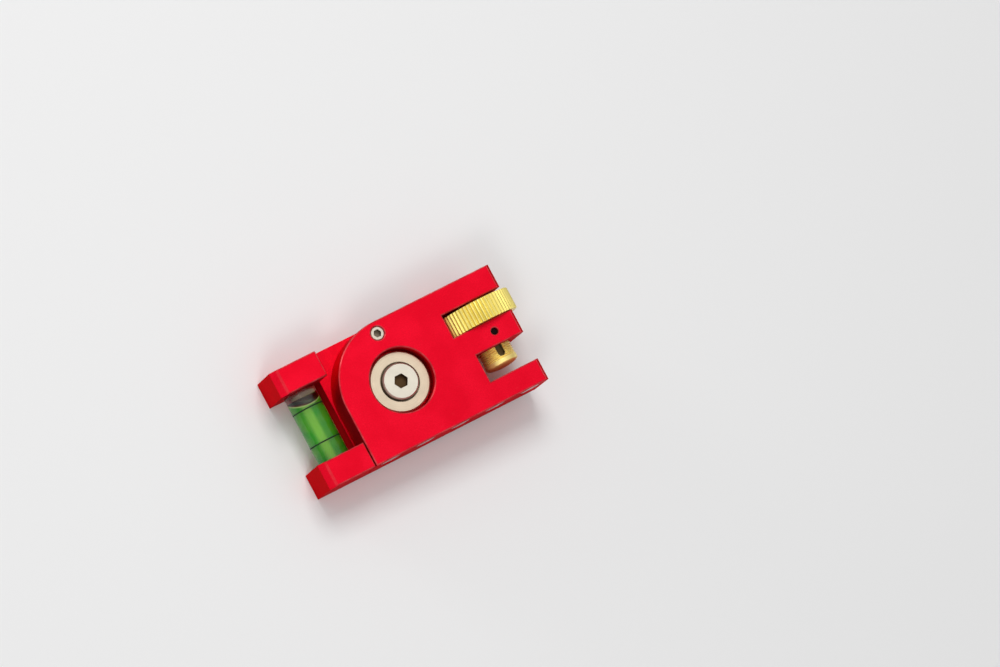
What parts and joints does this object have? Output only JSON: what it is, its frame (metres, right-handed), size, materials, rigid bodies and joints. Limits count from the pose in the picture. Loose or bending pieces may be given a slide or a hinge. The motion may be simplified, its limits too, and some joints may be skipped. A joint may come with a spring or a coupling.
{
  "type": "conduit bending level",
  "caption": "Pocket level that clamps to the end of a conduit with a thumb wheel and holds a vial on a swinging arm with detents for common bend angles.",
  "frame": {"origin": "on the pivot axis of the vial holder, in the plane of the back face", "axes": "+X towards the clamp jaw, +Y towards the thumb wheel's side, +Z out of the front face"},
  "size_m": [0.0721, 0.035, 0.0216],
  "materials": {
    "red_anodised": "bead blasted and anodised red, satin",
    "brass": "machined bright brass",
    "stainless": "turned stainless steel, satin",
    "spring_steel": "plain steel",
    "magnet_nickel": "nickel plated magnet",
    "vial_clear": "clear acrylic",
    "vial_green": "green vial liquid",
    "line_black": "black printed line"
  },
  "bodies": {
    "block": {"level_body": "red_anodised", "spring_washer": "spring_steel", "detent_set_screw": "stainless", "detent_spring": "spring_steel", "key_pin": "spring_steel", "edge_magnet_1": "magnet_nickel", "edge_magnet_2": "magnet_nickel", "edge_magnet_3": "magnet_nickel", "edge_magnet_4": "magnet_nickel", "edge_magnet_5": "magnet_nickel", "edge_magnet_6": "magnet_nickel", "edge_magnet_7": "magnet_nickel", "edge_magnet_8": "magnet_nickel"},
    "holder": {"vial_holder": "red_anodised", "vial_tube": "vial_clear", "vial_cap": "vial_clear", "vial_liquid": "vial_green", "vial_line_low": "line_black", "vial_line_high": "line_black", "vial_plug": "red_anodised", "pivot_disc": "stainless", "pivot_screw": "stainless"},
    "wheel": {"thumb_wheel": "brass"},
    "stem": {"clamp_stem": "brass"},
    "ball": {"detent_ball": "spring_steel"}
  },
  "joints": [
    {"name": "holder_swing", "type": "hinge", "parent": "block", "child": "holder", "pos_m": [0, 0, 0], "axis": [0, 0, 1], "range_deg": [-90, 0]},
    {"name": "wheel_turn", "type": "hinge", "parent": "block", "child": "wheel", "pos_m": [0.0294, 0.0069, 0.00794], "axis": [0, 1, 0], "range_deg": [-3180, 1250]},
    {"name": "stem_slide", "type": "slide", "parent": "block", "child": "stem", "axis": [0, 1, 0], "range_m": [-0.0022, 0.0056]},
    {"name": "ball_drop", "type": "slide", "parent": "block", "child": "ball", "axis": [0, 0, 1], "range_m": [-0.00035, 0], "stiffness_N_per_m": 10, "springref_m": -0.0008}
  ],
  "couplings": [
    {"joint": "wheel_turn", "follows": "stem_slide", "rad_per_m": -9894.8}
  ]
}
